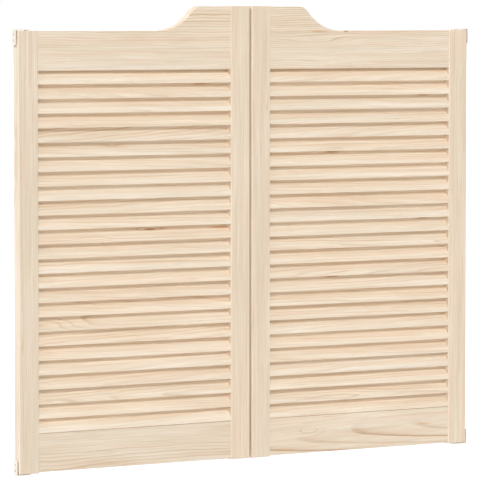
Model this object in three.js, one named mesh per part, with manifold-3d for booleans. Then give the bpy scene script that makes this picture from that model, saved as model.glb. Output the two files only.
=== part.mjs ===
import * as THREE from 'three';
import { mergeVertices } from 'three/addons/utils/BufferGeometryUtils.js';
import Module from 'manifold-3d';

// Pair of cafe swinging doors in plain pine: two louvred leaves that hang in a doorway on
// sprung pivots and swing both ways. Millimetres, +Z up, the front faces -Y, X runs across
// the doorway. The origin is the middle of the doorway, level with the lowest hardware.

// Leaf outline
const LEAF_WIDTH = 519;
const LEAF_HEIGHT = 850;
const EAR_RISE = 48;
const MEETING_GAP = 4;

// Stiles and rails
const STILE_WIDTH = 44;
const STILE_THICKNESS = 20;
const STILE_ROUND = 2.5;
const STILE_END_ROUND = 1;
const TOP_RAIL_HEIGHT = 76.8;
const BOTTOM_RAIL_HEIGHT = 74.1;
const RAIL_THICKNESS = 17;
const RAIL_ROUND = 1;
const TOP_HORN = 0.8;
const BOTTOM_HORN = 2;
const TENON_LENGTH = 12;
const TENON_THICKNESS = 9;
const TENON_SHOULDER = 8;

// Curve of the top rail, from its low part up to the ear at the meeting stile
const EAR_FLAT = 110.5;
const CREST_RADIUS = 30;
const HOLLOW_RADIUS = 98;

// Slats: front edge low, back edge high
const SLAT_COUNT = 25;
const SLATS_PER_NODE = 2;
const SLAT_NOSE = 9;
const SLAT_SETBACK = 0.5;
const SLAT_ROUND = 2.5;
const SLAT_ARRIS = 0.4;
const SLAT_OVERLAP = 1.6;
const TOP_SLAT_TRIM = 3.3;
const TONGUE_LENGTH = 10;
const TONGUE_WIDTH = 13;
const TONGUE_SHOULDER = 1.25;
const TIE_WIDTH = 4;
const TIE_LENGTH = 4;

// Pivots and jamb brackets
const PIN_RADIUS = 3;
const PIN_REACH = 22;
const PIN_CHAMFER = 0.8;
const PIN_HEAD_RADIUS = 4.5;
const PIN_HEAD = 1.2;
const COLLAR = 1.2;
const WASHER = 1;
const BUSH_WALL = 2;
const BUSH_LENGTH = 14;
const FLANGE_RADIUS = 7;
const FLANGE = 1.2;
const SPRING_WIRE_RADIUS = 0.5;
const SPRING_PITCH = 2.2;
const SPRING_TURNS = 9;
const BORE_ROOM = 4;
const PLATE = 1.5;
const BRACKET_WIDTH = 14;
const BRACKET_HEIGHT = 30;
const BRACKET_ROUND = 3;
const SCREW_RADIUS = 2;
const SCREW_HEAD_RADIUS = 3.5;
const SCREW_FIRST = 9;
const SCREW_SPACING = 12;
const SWING_CLEARANCE = 1.1;
const END_GAP = 0.8;

// Clearance between pieces that touch
const FIT = 0.3;
const ROUND_STEPS = 3;
const CURVE_STEPS = 9;
const TAB_STEPS = 16;
const LATHE_STEPS = 16;
const COIL_STEPS = 8;

// Heights inside a leaf, measured from the stiles' lower ends
const bottomRailTop = BOTTOM_HORN + BOTTOM_RAIL_HEIGHT;
const topRailBottom = LEAF_HEIGHT - TOP_RAIL_HEIGHT;
const lowTop = LEAF_HEIGHT - TOP_HORN;
const earTop = LEAF_HEIGHT + EAR_RISE - TOP_HORN;
const slatPitch =
  (topRailBottom + TOP_SLAT_TRIM - bottomRailTop - 2 * FIT - SLAT_OVERLAP) / SLAT_COUNT;
const slatDepth = STILE_THICKNESS - 2 * SLAT_SETBACK;
const slatRise = slatPitch + SLAT_OVERLAP - SLAT_NOSE;

// Places across a leaf, measured from its hinge edge
const pivotInset = STILE_WIDTH / 2;
const shoulderNear = STILE_WIDTH + FIT;
const shoulderFar = LEAF_WIDTH - STILE_WIDTH - FIT;
const slatLength = shoulderFar - shoulderNear;

// Pivot stack, from the lower bracket's underside up. The collar, the washer and the flanges
// are let into the stile's ends, so that only a slim gap shows between stile and bracket.
const boreRadius = PIN_RADIUS + FIT + BUSH_WALL + FIT;
const recessRadius = FLANGE_RADIUS + FIT;
const collarBase = PLATE + FIT;
const washerBase = collarBase + COLLAR + FIT;
const flangeBase = washerBase + WASHER + FIT;
const leafBase = PLATE + END_GAP;
const bottomRecess = flangeBase + FLANGE + FIT - leafBase;
const topRecess = FLANGE + FIT;
const springHeight = SPRING_TURNS * SPRING_PITCH + 2 * SPRING_WIRE_RADIUS;
const springBase = bottomRecess + BUSH_LENGTH + FIT;
const bottomBore = springBase + springHeight + BORE_ROOM;
const topBore = Math.max(topRecess + BUSH_LENGTH, PIN_REACH) + BORE_ROOM;
const topPlateBase = leafBase + LEAF_HEIGHT + END_GAP;

// Places across the doorway
const pivotX = MEETING_GAP / 2 + LEAF_WIDTH - pivotInset;
const cornerReach =
  Math.hypot(pivotInset - STILE_ROUND, STILE_THICKNESS / 2 - STILE_ROUND) + STILE_ROUND;
const jambReach = cornerReach + SWING_CLEARANCE + PLATE;

const wasm = await Module();
wasm.setup();

// Closed indexed geometry with shared corners and no flat triangles
function weld(geometry) {
  const bare = geometry.clone();
  bare.deleteAttribute('normal');
  bare.deleteAttribute('uv');
  const merged = mergeVertices(bare, 1e-4);
  const kept = [];
  const index = merged.index.array;
  for (let i = 0; i < index.length; i += 3) {
    const [a, b, c] = [index[i], index[i + 1], index[i + 2]];
    if (a !== b && b !== c && c !== a) kept.push(a, b, c);
  }
  merged.setIndex(kept);
  return merged;
}

function solid(geometry) {
  const welded = weld(geometry);
  const vertProperties = new Float32Array(welded.attributes.position.array);
  const triVerts = new Uint32Array(welded.index.array);
  return new wasm.Manifold(new wasm.Mesh({ numProp: 3, vertProperties, triVerts }));
}

function geometryOf(manifold) {
  const mesh = manifold.getMesh();
  const geometry = new THREE.BufferGeometry();
  geometry.setAttribute('position', new THREE.BufferAttribute(mesh.vertProperties, 3));
  geometry.setIndex(new THREE.BufferAttribute(mesh.triVerts, 1));
  return geometry;
}

function box(x0, x1, y0, y1, z0, z1) {
  const geometry = new THREE.BoxGeometry(Math.abs(x1 - x0), y1 - y0, z1 - z0);
  return geometry.translate((x0 + x1) / 2, (y0 + y1) / 2, (z0 + z1) / 2);
}

function shapeOf(points) {
  return new THREE.Shape(points.map(([a, b]) => new THREE.Vector2(a, b)));
}

// Outline with its corners rounded, by one radius or by one for each corner
function roundCorners(points, radii) {
  const out = [];
  const count = points.length;
  for (let i = 0; i < count; i += 1) {
    const radius = Array.isArray(radii) ? radii[i] : radii;
    const corner = new THREE.Vector2(...points[i]);
    const before = new THREE.Vector2(...points[(i + count - 1) % count]).sub(corner).normalize();
    const after = new THREE.Vector2(...points[(i + 1) % count]).sub(corner).normalize();
    const half = Math.acos(THREE.MathUtils.clamp(before.dot(after), -1, 1)) / 2;
    const bisector = before.clone().add(after).normalize();
    const centre = corner.clone().addScaledVector(bisector, radius / Math.sin(half));
    const from = corner.clone().addScaledVector(before, radius / Math.tan(half)).sub(centre);
    const sweep = Math.PI - 2 * half;
    const turn = Math.sign(before.x * after.y - before.y * after.x);
    for (let k = 0; k <= ROUND_STEPS; k += 1) {
      const angle = (-turn * sweep * k) / ROUND_STEPS;
      const spoke = from.clone().rotateAround(new THREE.Vector2(), angle);
      out.push([centre.x + spoke.x, centre.y + spoke.y]);
    }
  }
  return out;
}

function rectangle(a0, a1, b0, b1) {
  return [[a0, b0], [a1, b0], [a1, b1], [a0, b1]];
}

// Bar with rounded edges at both ends of its extrusion
function extrude(points, length, edge = 0) {
  return new THREE.ExtrudeGeometry(shapeOf(points), {
    depth: length - 2 * edge,
    steps: 1,
    bevelEnabled: edge > 0,
    bevelThickness: edge,
    bevelSize: edge,
    bevelOffset: -edge,
    bevelSegments: 2,
  }).translate(0, 0, edge);
}

// Outline in Y and Z, drawn out along X from x0
function prismX(points, x0, length) {
  const basis = new THREE.Matrix4().makeBasis(
    new THREE.Vector3(0, 1, 0), new THREE.Vector3(0, 0, 1), new THREE.Vector3(1, 0, 0));
  return extrude(points, length).applyMatrix4(basis).translate(x0, 0, 0);
}

// Outline in X and Z, drawn out along Y about the middle of the thickness
function boardY(points, thickness, edge) {
  const basis = new THREE.Matrix4().makeBasis(
    new THREE.Vector3(1, 0, 0), new THREE.Vector3(0, 0, 1), new THREE.Vector3(0, -1, 0));
  return extrude(points, thickness, edge).applyMatrix4(basis).translate(0, thickness / 2, 0);
}

// Turned piece about Z, from [radius, height] points
function turned(points) {
  const profile = points.map(([r, z]) => new THREE.Vector2(r, z));
  return new THREE.LatheGeometry(profile, LATHE_STEPS).rotateX(Math.PI / 2);
}

// X inside a leaf, from the pivot axis, for a place measured from the hinge edge
function across(side, place) {
  return -side * (place - pivotInset);
}

function slatBase(number) {
  return bottomRailTop + FIT + (SLAT_COUNT - number) * slatPitch;
}

// Height of a slat's underside above its lowest edge, at depth y
function underside(y) {
  return ((y + slatDepth / 2) / slatDepth) * slatRise;
}

function slantedSection(width, shoulder) {
  const front = -width / 2;
  const back = width / 2;
  return [
    [front, underside(front) + shoulder],
    [back, underside(back) + shoulder],
    [back, underside(back) + SLAT_NOSE - shoulder],
    [front, underside(front) + SLAT_NOSE - shoulder],
  ];
}

const slatMiddle = underside(0) + SLAT_NOSE / 2;

// One slat, centred in X, with a tongue at each end
function slatSolid() {
  const section = roundCorners(slantedSection(slatDepth, 0),
    [SLAT_ARRIS, SLAT_ROUND, SLAT_ARRIS, SLAT_ROUND]);
  const reach = slatLength + 2 * TONGUE_LENGTH;
  return solid(prismX(section, -slatLength / 2, slatLength))
    .add(solid(prismX(slantedSection(TONGUE_WIDTH, TONGUE_SHOULDER), -reach / 2, reach)));
}

// Neighbouring slats as one piece: a slim tie joins their tongues inside each stile
function slatGroup(first, last) {
  let group = slatSolid();
  const reach = slatLength / 2 + TONGUE_LENGTH;
  for (let i = 1; i <= last - first; i += 1) {
    group = group.add(slatSolid().translate([0, 0, i * slatPitch]));
    for (const end of [-1, 1]) {
      const tie = box(end * (reach - TIE_LENGTH), end * reach, -TIE_WIDTH / 2, TIE_WIDTH / 2,
        (i - 1) * slatPitch + slatMiddle, i * slatPitch + slatMiddle);
      group = group.add(solid(tie));
    }
  }
  if (first === 1) {
    // The top slat's heel is planed level to fit under the rail
    const roof = topRailBottom - FIT - slatBase(last);
    const shaving = box(-reach - FIT, reach + FIT, -STILE_THICKNESS, STILE_THICKNESS,
      roof, roof + TOP_SLAT_TRIM + SLAT_NOSE);
    group = group.subtract(solid(shaving));
  }
  return geometryOf(group);
}

// Numbers of the slats in each piece, counted from the top
function slatRuns() {
  const runs = [];
  for (let first = 1; first <= SLAT_COUNT; first += SLATS_PER_NODE) {
    runs.push([first, Math.min(first + SLATS_PER_NODE - 1, SLAT_COUNT)]);
  }
  return runs;
}

// Sockets that a stile needs for the slats and rails, cut in from X = 0 towards +X
function socketSolid() {
  const depth = TONGUE_LENGTH + FIT;
  const inner = TONGUE_SHOULDER - FIT / Math.cos(Math.atan2(slatRise, slatDepth));
  const tongue = slantedSection(TONGUE_WIDTH + 2 * FIT, inner);
  const pieces = [];
  for (const [first, last] of slatRuns()) {
    for (let number = first; number <= last; number += 1) {
      pieces.push(prismX(tongue, -FIT, depth + FIT).translate(0, 0, slatBase(number)));
    }
    if (last > first) {
      pieces.push(box(depth - TIE_LENGTH - 2 * FIT, depth, -TIE_WIDTH / 2 - FIT, TIE_WIDTH / 2 + FIT,
        slatBase(last) + slatMiddle, slatBase(first) + slatMiddle));
    }
  }
  for (const [low, high] of [[BOTTOM_HORN, bottomRailTop], [topRailBottom, lowTop]]) {
    pieces.push(box(-FIT, TENON_LENGTH + FIT, -TENON_THICKNESS / 2 - FIT, TENON_THICKNESS / 2 + FIT,
      low + TENON_SHOULDER - FIT, high - TENON_SHOULDER + FIT));
  }
  return pieces.map(solid).reduce((all, piece) => all.add(piece));
}

const sockets = socketSolid();

function stileBar(height) {
  const half = STILE_WIDTH / 2;
  const outline = roundCorners(
    rectangle(-half, half, -STILE_THICKNESS / 2, STILE_THICKNESS / 2), STILE_ROUND);
  return solid(extrude(outline, height, STILE_END_ROUND));
}

// facing: +1 where the sockets open towards +X, -1 where they open towards -X
function stileWithSockets(height, facing) {
  const cut = facing < 0 ? sockets : sockets.mirror([1, 0, 0]);
  return stileBar(height).subtract(cut.translate([facing * (STILE_WIDTH / 2), 0, 0]));
}

// Both ends of the stile are bored for a bush, with a recess for its flange
function hingeStile(side) {
  const bore = (radius, low, high) => solid(turned([[0, low], [radius, low], [radius, high], [0, high]]));
  return geometryOf(stileWithSockets(LEAF_HEIGHT, -side)
    .subtract(bore(boreRadius, -FIT, bottomBore))
    .subtract(bore(recessRadius, -FIT, bottomRecess))
    .subtract(bore(boreRadius, LEAF_HEIGHT - topBore, LEAF_HEIGHT + FIT))
    .subtract(bore(recessRadius, LEAF_HEIGHT - topRecess, LEAF_HEIGHT + FIT)));
}

function meetingStile(side) {
  return geometryOf(stileWithSockets(LEAF_HEIGHT + EAR_RISE, side));
}

// Rail board cut square at both stiles, with a stub tenon at each end
function rail(side, outline, low, high) {
  const points = outline.map(([place, z]) => [across(side, place), z]);
  const square = box(across(side, shoulderNear), across(side, shoulderFar),
    -RAIL_THICKNESS, RAIL_THICKNESS, low - RAIL_THICKNESS, earTop + RAIL_THICKNESS);
  const tenons = box(across(side, shoulderNear - TENON_LENGTH), across(side, shoulderFar + TENON_LENGTH),
    -TENON_THICKNESS / 2, TENON_THICKNESS / 2, low + TENON_SHOULDER, high - TENON_SHOULDER);
  return geometryOf(solid(boardY(points, RAIL_THICKNESS, RAIL_ROUND))
    .intersect(solid(square))
    .add(solid(tenons)));
}

function topRail(side) {
  const near = shoulderNear - 2 * RAIL_ROUND;
  const far = shoulderFar + 2 * RAIL_ROUND;
  const crest = LEAF_WIDTH - EAR_FLAT;
  // The two arcs touch each other, so their radii and the rise set how steep the curve gets
  const steepest = Math.acos(1 - (earTop - lowTop) / (CREST_RADIUS + HOLLOW_RADIUS));
  const run = (CREST_RADIUS + HOLLOW_RADIUS) * Math.sin(steepest);
  const outline = [[near, topRailBottom], [far, topRailBottom], [far, earTop]];
  for (let k = 0; k < CURVE_STEPS; k += 1) {
    const angle = (steepest * k) / CURVE_STEPS;
    outline.push([crest - CREST_RADIUS * Math.sin(angle), earTop - CREST_RADIUS * (1 - Math.cos(angle))]);
  }
  for (let k = CURVE_STEPS; k >= 0; k -= 1) {
    const angle = (steepest * k) / CURVE_STEPS;
    outline.push([crest - run + HOLLOW_RADIUS * Math.sin(angle),
      lowTop + HOLLOW_RADIUS * (1 - Math.cos(angle))]);
  }
  outline.push([near, lowTop]);
  return rail(side, outline, topRailBottom, lowTop);
}

function bottomRail(side) {
  const near = shoulderNear - 2 * RAIL_ROUND;
  const far = shoulderFar + 2 * RAIL_ROUND;
  return rail(side, rectangle(near, far, BOTTOM_HORN, bottomRailTop), BOTTOM_HORN, bottomRailTop);
}

// Flanged sleeve, flange at Z = 0 and sleeve above it
function bush() {
  const inner = PIN_RADIUS + FIT;
  const outer = inner + BUSH_WALL;
  const top = FLANGE + FIT + BUSH_LENGTH;
  return turned([[inner, 0], [FLANGE_RADIUS, 0], [FLANGE_RADIUS, FLANGE], [outer, FLANGE],
    [outer, top], [inner, top], [inner, 0]]);
}

function thrustWasher() {
  const inner = PIN_RADIUS + FIT;
  return turned([[inner, 0], [FLANGE_RADIUS, 0], [FLANGE_RADIUS, WASHER], [inner, WASHER], [inner, 0]]);
}

// Lower pin: foot riveted into the bracket, collar on it, shank up through the bush and the spring
function bottomPin() {
  const tip = leafBase + springBase + springHeight;
  return turned([[0, 0], [PIN_HEAD_RADIUS, 0], [PIN_RADIUS, PIN_HEAD], [PIN_RADIUS, collarBase],
    [FLANGE_RADIUS, collarBase],
    [FLANGE_RADIUS, collarBase + COLLAR], [PIN_RADIUS, collarBase + COLLAR],
    [PIN_RADIUS, tip - PIN_CHAMFER], [PIN_RADIUS - PIN_CHAMFER, tip], [0, tip]]);
}

// Upper pin: dropped through the bracket from above, held by its countersunk head
function topPin() {
  const crown = topPlateBase + PLATE;
  const tip = leafBase + LEAF_HEIGHT - PIN_REACH;
  return turned([[0, tip], [PIN_RADIUS - PIN_CHAMFER, tip], [PIN_RADIUS, tip + PIN_CHAMFER],
    [PIN_RADIUS, crown - PIN_HEAD], [PIN_HEAD_RADIUS, crown], [0, crown]]);
}

class Helix extends THREE.Curve {
  constructor(radius, pitch, turns) {
    super();
    this.radius = radius;
    this.pitch = pitch;
    this.turns = turns;
  }

  getPoint(t, target = new THREE.Vector3()) {
    const angle = 2 * Math.PI * this.turns * t;
    return target.set(this.radius * Math.cos(angle), this.radius * Math.sin(angle),
      this.pitch * this.turns * t);
  }
}

// Return spring, wound about the lower pin inside the stile's bore
function returnSpring() {
  const radius = (PIN_RADIUS + boreRadius) / 2;
  const wire = [];
  for (let k = 0; k < 5; k += 1) {
    const angle = (2 * Math.PI * k) / 5;
    wire.push([SPRING_WIRE_RADIUS * Math.cos(angle), SPRING_WIRE_RADIUS * Math.sin(angle)]);
  }
  return new THREE.ExtrudeGeometry(shapeOf(wire), {
    steps: SPRING_TURNS * COIL_STEPS,
    extrudePath: new Helix(radius, SPRING_PITCH, SPRING_TURNS),
    bevelEnabled: false,
  });
}

// Bent bracket: tab at Z = 0 under the stile, plate up the jamb beside it, holes countersunk
function bracket(side) {
  const half = BRACKET_WIDTH / 2;
  const jamb = side * jambReach;
  const tab = [[jamb, -half]];
  for (let k = 0; k <= TAB_STEPS; k += 1) {
    const angle = -Math.PI / 2 + (Math.PI * k) / TAB_STEPS;
    tab.push([-side * half * Math.cos(angle), half * Math.sin(angle)]);
  }
  tab.push([jamb, half]);
  const plate = rectangle(-half, half, -BRACKET_ROUND, BRACKET_HEIGHT);
  let body = solid(prismX(roundCorners(plate, BRACKET_ROUND), Math.min(jamb, jamb - side * PLATE), PLATE))
    .intersect(solid(box(jamb - side * 2 * PLATE, jamb + side * PLATE, -half, half, 0, BRACKET_HEIGHT)))
    .add(solid(extrude(tab, PLATE)));
  const hole = PIN_RADIUS + FIT;
  const sink = PIN_HEAD_RADIUS + FIT;
  body = body.subtract(solid(turned([[0, -PLATE], [sink, -PLATE], [sink, 0], [hole, PIN_HEAD],
    [hole, 2 * PLATE], [0, 2 * PLATE]])));
  const screw = turned([[0, -PLATE], [SCREW_RADIUS, -PLATE], [SCREW_RADIUS, PLATE / 4],
    [SCREW_HEAD_RADIUS, PLATE], [SCREW_HEAD_RADIUS, 2 * PLATE], [0, 2 * PLATE]]);
  screw.rotateY((-side * Math.PI) / 2).translate(jamb, 0, 0);
  for (const z of [SCREW_FIRST, SCREW_FIRST + SCREW_SPACING]) {
    body = body.subtract(solid(screw.clone().translate(0, 0, z)));
  }
  return geometryOf(body);
}

function mesh(name, geometry, color, roughness, metalness = 0) {
  const faceted = geometry.index ? geometry.toNonIndexed() : geometry.clone();
  faceted.computeVertexNormals();
  const material = new THREE.MeshStandardMaterial({ color, roughness, metalness });
  const piece = new THREE.Mesh(faceted, material);
  piece.name = name;
  return piece;
}

const PINE = 0xe8d7c0;
const PINE_SLAT = 0xecdac1;
const ENAMEL = 0xf0efea;
const STEEL = 0xc9c8c2;
const SPRING_STEEL = 0x8d9094;
const NYLON = 0xf1eee6;

const slatMiddleX = (shoulderNear + shoulderFar) / 2;
const slatShapes = new Map();

function leaf(hand, side) {
  const group = new THREE.Group();
  const hinge = mesh(`${hand}_hinge_stile`, hingeStile(side), PINE, 0.7);
  const meeting = mesh(`${hand}_meeting_stile`, meetingStile(side), PINE, 0.7);
  meeting.position.x = across(side, LEAF_WIDTH - STILE_WIDTH / 2);
  group.add(hinge, meeting);
  group.add(mesh(`${hand}_top_rail`, topRail(side), PINE, 0.7));
  group.add(mesh(`${hand}_bottom_rail`, bottomRail(side), PINE, 0.7));
  for (const [first, last] of slatRuns()) {
    const label = [...new Set([first, last])].map((n) => String(n).padStart(2, '0')).join('_');
    if (!slatShapes.has(label)) slatShapes.set(label, slatGroup(first, last));
    const slats = mesh(`${hand}_slat_${label}`, slatShapes.get(label), PINE_SLAT, 0.7);
    slats.position.set(across(side, slatMiddleX), 0, slatBase(last));
    group.add(slats);
  }
  const lower = mesh(`${hand}_bottom_bush`, bush(), NYLON, 0.45);
  lower.position.z = bottomRecess - FIT - FLANGE;
  const upper = mesh(`${hand}_top_bush`, bush(), NYLON, 0.45);
  upper.rotation.x = Math.PI;
  upper.position.z = LEAF_HEIGHT - topRecess + FIT + FLANGE;
  const spring = mesh(`${hand}_return_spring`, returnSpring(), SPRING_STEEL, 0.35, 1);
  spring.position.z = springBase + SPRING_WIRE_RADIUS;
  group.add(lower, upper, spring);
  group.position.set(side * pivotX, 0, leafBase);
  return group;
}

function jambHardware(hand, side) {
  const group = new THREE.Group();
  const lower = mesh(`${hand}_bottom_bracket`, bracket(side), ENAMEL, 0.4);
  const upper = mesh(`${hand}_top_bracket`, bracket(-side), ENAMEL, 0.4);
  upper.rotation.y = Math.PI;
  upper.position.z = topPlateBase + PLATE;
  const washer = mesh(`${hand}_thrust_washer`, thrustWasher(), NYLON, 0.45);
  washer.position.z = washerBase;
  group.add(lower, upper, washer);
  group.add(mesh(`${hand}_bottom_pin`, bottomPin(), STEEL, 0.35, 1));
  group.add(mesh(`${hand}_top_pin`, topPin(), STEEL, 0.35, 1));
  group.position.x = side * pivotX;
  return group;
}

const doors = new THREE.Group();
for (const [hand, side] of [['left', -1], ['right', 1]]) {
  doors.add(leaf(hand, side), jambHardware(hand, side));
}

export default doors;
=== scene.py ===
"""Pair of louvred pine cafe doors, dressed round their hung frame."""

import math

import bpy
import numpy as np
from bpy.props import FloatProperty, FloatVectorProperty, IntProperty, PointerProperty
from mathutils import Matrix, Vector


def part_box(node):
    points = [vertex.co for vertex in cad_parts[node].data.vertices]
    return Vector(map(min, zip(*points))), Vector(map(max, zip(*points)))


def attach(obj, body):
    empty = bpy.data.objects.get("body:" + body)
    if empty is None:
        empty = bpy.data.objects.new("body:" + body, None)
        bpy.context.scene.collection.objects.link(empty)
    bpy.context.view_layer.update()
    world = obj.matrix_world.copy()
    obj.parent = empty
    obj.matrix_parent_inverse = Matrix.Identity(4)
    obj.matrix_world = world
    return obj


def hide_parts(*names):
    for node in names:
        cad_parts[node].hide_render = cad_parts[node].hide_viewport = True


bl_info = {
    "name": "Cafe Swinging Doors",
    "version": (1, 0, 0),
    "blender": (4, 5, 0),
    "location": "View3D > Sidebar > Cafe Doors",
    "description": "Dresses a pair of louvred swinging doors in planed pine",
    "category": "Object",
}

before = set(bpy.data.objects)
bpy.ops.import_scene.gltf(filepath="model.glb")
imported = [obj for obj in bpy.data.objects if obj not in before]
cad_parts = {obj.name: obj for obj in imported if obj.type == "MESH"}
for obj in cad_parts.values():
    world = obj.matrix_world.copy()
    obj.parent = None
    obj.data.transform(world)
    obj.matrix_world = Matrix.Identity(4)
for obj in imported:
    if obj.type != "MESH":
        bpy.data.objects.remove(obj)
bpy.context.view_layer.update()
MM = 0.001
HANDS = ("left", "right")
JAMB = "jamb_hardware"

# Angles in degrees past which an edge is drawn sharp.
BOARD_CREASE = 40
TURNED_CREASE = 35
COIL_CREASE = 50

# Rings of points along a board and round a stile's end, and points round a turned piece, along a
# spring's turn and round its wire.
STILE_RINGS = 12
RAIL_RINGS = 14
SLAT_RINGS = 8
END_RINGS = 4
TURNED_STEPS = 48
COIL_STEPS = 28
WIRE_STEPS = 10

# Metres: half the floor's width, how far the camera sees, and how far off the lamps stand.
FLOOR_REACH = 90.0
CLIP_END = 200.0
STAND_OFF = 4.0
WHITE = (1, 1, 1, 1)


def linear(code):
    """Linear red, green and blue of an sRGB hex colour."""
    part = np.array([int(code[i:i + 2], 16) for i in (1, 3, 5)]) / 255.0
    low = part / 12.92
    high = ((part + 0.055) / 1.055) ** 2.4
    return tuple(float(v) for v in np.where(part <= 0.04045, low, high))


def colour(name, code, description):
    return FloatVectorProperty(
        name=name, description=description, subtype="COLOR", size=3,
        min=0.0, max=1.0, default=linear(code))


def length(name, millimetres, description):
    return FloatProperty(
        name=name, description=description, subtype="DISTANCE", unit="LENGTH",
        min=0.0, default=millimetres * MM)


def angle(name, degrees, description):
    return FloatProperty(
        name=name, description=description, subtype="ANGLE", default=math.radians(degrees))


class JoinerySettings(bpy.types.PropertyGroup):
    """Sizes of the joiner's work on the boards."""

    stile_round: length("Stile arris", 2.6, "Radius along a stile's long edges")
    stile_end: length("Stile end", 1.0, "Radius round a stile's end")
    rail_round: length("Rail arris", 1.2, "Radius along a rail's long edges")
    slat_nose: length("Slat nose", 9.0, "Height of a slat's upright front edge")
    slat_round: length("Slat round", 2.5, "Radius over a slat's nose")
    slat_arris: length("Slat arris", 0.45, "Radius at a slat's thin edge")
    slat_overlap: length("Slat overlap", 1.6, "How far a slat reaches past its pitch")
    slat_setback: length("Slat setback", 0.5, "Depth of a slat's nose behind the stile's face")
    slat_trim: length("Top slat trim", 3.3, "How much of the top slat's heel is planed off under the rail")
    slat_count: IntProperty(name="Slats", description="Slats in one leaf", default=25, min=1)
    ear_flat: length("Ear", 110.5, "Level part of the top rail at the meeting edge")
    crest: length("Crest", 30.0, "Radius over the ear's shoulder")
    hollow: length("Hollow", 98.0, "Radius of the sweep below the ear")
    joint: length("Joint", 0.3, "Fit between touching boards")
    bite: length("Bite", 1.0, "How far a board runs into a stile")
    seed: IntProperty(name="Timber", description="Picks the boards' figure", default=12, min=0)


class PivotSettings(bpy.types.PropertyGroup):
    """Sizes of the pins, bushes and springs."""

    plate: length("Plate", 1.5, "Thickness of a bracket")
    shank: length("Shank", 3.0, "Radius of a pin")
    chamfer: length("Chamfer", 0.8, "Chamfer at a pin's tip")
    head: length("Head", 4.5, "Radius of a pin's countersunk head")
    sink: length("Countersink", 1.2, "Depth of a pin's countersunk head")
    wall: length("Wall", 2.0, "Wall of a bush's sleeve")
    flange: length("Flange", 1.2, "Thickness of a bush's flange")
    fit: length("Fit", 0.3, "Clearance between turning pieces")
    bore_room: length("Bore room", 4.0, "Depth of a bore past what it holds")
    soft: length("Soft edge", 0.25, "Chamfer that breaks an edge")
    wire: length("Wire", 0.5, "Radius of the spring's wire")
    turns: IntProperty(name="Turns", description="Turns of a return spring", default=9, min=1)


class PineSettings(bpy.types.PropertyGroup):
    """Colours of the timber."""

    early: colour("Early wood", "#EDDAC1", "Pale wood of the spring growth")
    late: colour("Late wood", "#BC9467", "Denser wood that closes each year's ring")
    deep: colour("Deep board", "#E8C7AC", "Pink tint of the riper boards and streaks")
    pale: colour("Pale board", "#EDE3D2", "Ivory tint of the paler boards and streaks")
    resin: colour("Resin", "#D39A5E", "Resin streaks and the rims of knots")
    knot: colour("Knot", "#AD7645", "Heart of a knot")


class MetalSettings(bpy.types.PropertyGroup):
    """Colours of the brackets and pivots."""

    enamel: colour("Enamel", "#F0E4D2", "Warm white stoved enamel")
    zinc: colour("Zinc", "#C9C9C4", "Bright zinc plate")
    wire: colour("Spring wire", "#8C8F93", "Drawn spring wire")
    nylon: colour("Nylon", "#EEEAE0", "Natural nylon")


class StageSettings(bpy.types.PropertyGroup):
    """Camera, lamps and floor."""

    azimuth: angle("Azimuth", -31.528, "Camera's turn round the doors from their front")
    pitch: angle("Pitch", 3.443, "Camera's tilt downwards")
    distance: length("Distance", 7295.1, "Camera's distance from its aim")
    aim: FloatVectorProperty(
        name="Aim", description="Point in the middle of the picture", subtype="TRANSLATION",
        size=3, default=(-0.0191, 0.0, 0.4371))
    sensor: FloatProperty(name="Sensor", description="Width of the sensor in mm", default=36.0, min=1.0)
    lens: FloatProperty(name="Lens", description="Focal length in mm", default=275.87, min=1.0)
    drop: length("Floor", 450.0, "Height at which the doors hang over the floor")
    paper: FloatProperty(name="Paper", description="Share of light that the floor gives back", default=0.8)
    glow: FloatProperty(name="Glow", description="Light that makes the floor look white", default=0.35)
    sky: FloatProperty(name="Sky", description="Strength of the light from all round", default=0.38)
    key: FloatProperty(name="Key", description="Strength of the lamp in front", default=1.5)
    key_turn: angle("Key turn", -25.0, "Azimuth of the lamp in front")
    key_height: angle("Key height", 32.0, "Elevation of the lamp in front")
    key_spread: angle("Key spread", 20.0, "Width of the lamp in front, as the doors see it")
    side: FloatProperty(name="Side", description="Strength of the lamp high on the left", default=1.97)
    side_turn: angle("Side turn", -95.0, "Azimuth of the lamp high on the left")
    side_height: angle("Side height", 45.0, "Elevation of the lamp high on the left")
    side_spread: angle("Side spread", 30.0, "Width of the lamp high on the left, as the doors see it")
    daylight: colour("Daylight", "#E6F1FF", "Colour of the lamp high on the left")


def unit(vectors):
    """Each vector over its length."""
    return vectors / np.linalg.norm(vectors, axis=-1, keepdims=True)


def rounded_outline(corners, radii, steps=5, hold=0.35 * MM):
    """Polygon with each corner turned into an arc. The arc's centre lies on the corner's
    bisector, at the radius over the sine of half the angle; a point just past each end of the
    arc keeps the sides flat under smooth shading."""
    corner = np.asarray(corners, float)
    radius = np.asarray(radii, float)[:, None]
    before = unit(np.roll(corner, 1, axis=0) - corner)
    after = unit(np.roll(corner, -1, axis=0) - corner)
    half = np.arccos(np.clip((before * after).sum(axis=1), -1, 1))[:, None] / 2
    centre = corner + unit(before + after) * radius / np.sin(half)
    start = corner + before * radius / np.tan(half) - centre
    side = np.sign(before[:, :1] * after[:, 1:] - before[:, 1:] * after[:, :1])
    turn = -side * (math.pi - 2 * half) * np.linspace(0, 1, steps + 1)
    cos, sin = np.cos(turn), np.sin(turn)
    arc = np.stack([
        centre[:, :1] + cos * start[:, :1] - sin * start[:, 1:],
        centre[:, 1:] + sin * start[:, :1] + cos * start[:, 1:]], axis=-1)
    first = arc[:, :1] + before[:, None] * hold
    last = arc[:, -1:] + after[:, None] * hold
    return np.concatenate([first, arc, last], axis=1).reshape(-1, 2)


def rectangle(a0, a1, b0, b1):
    """Corners in order round the rectangle from low to high on both axes."""
    return [(a0, b0), (a1, b0), (a1, b1), (a0, b1)]


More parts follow.
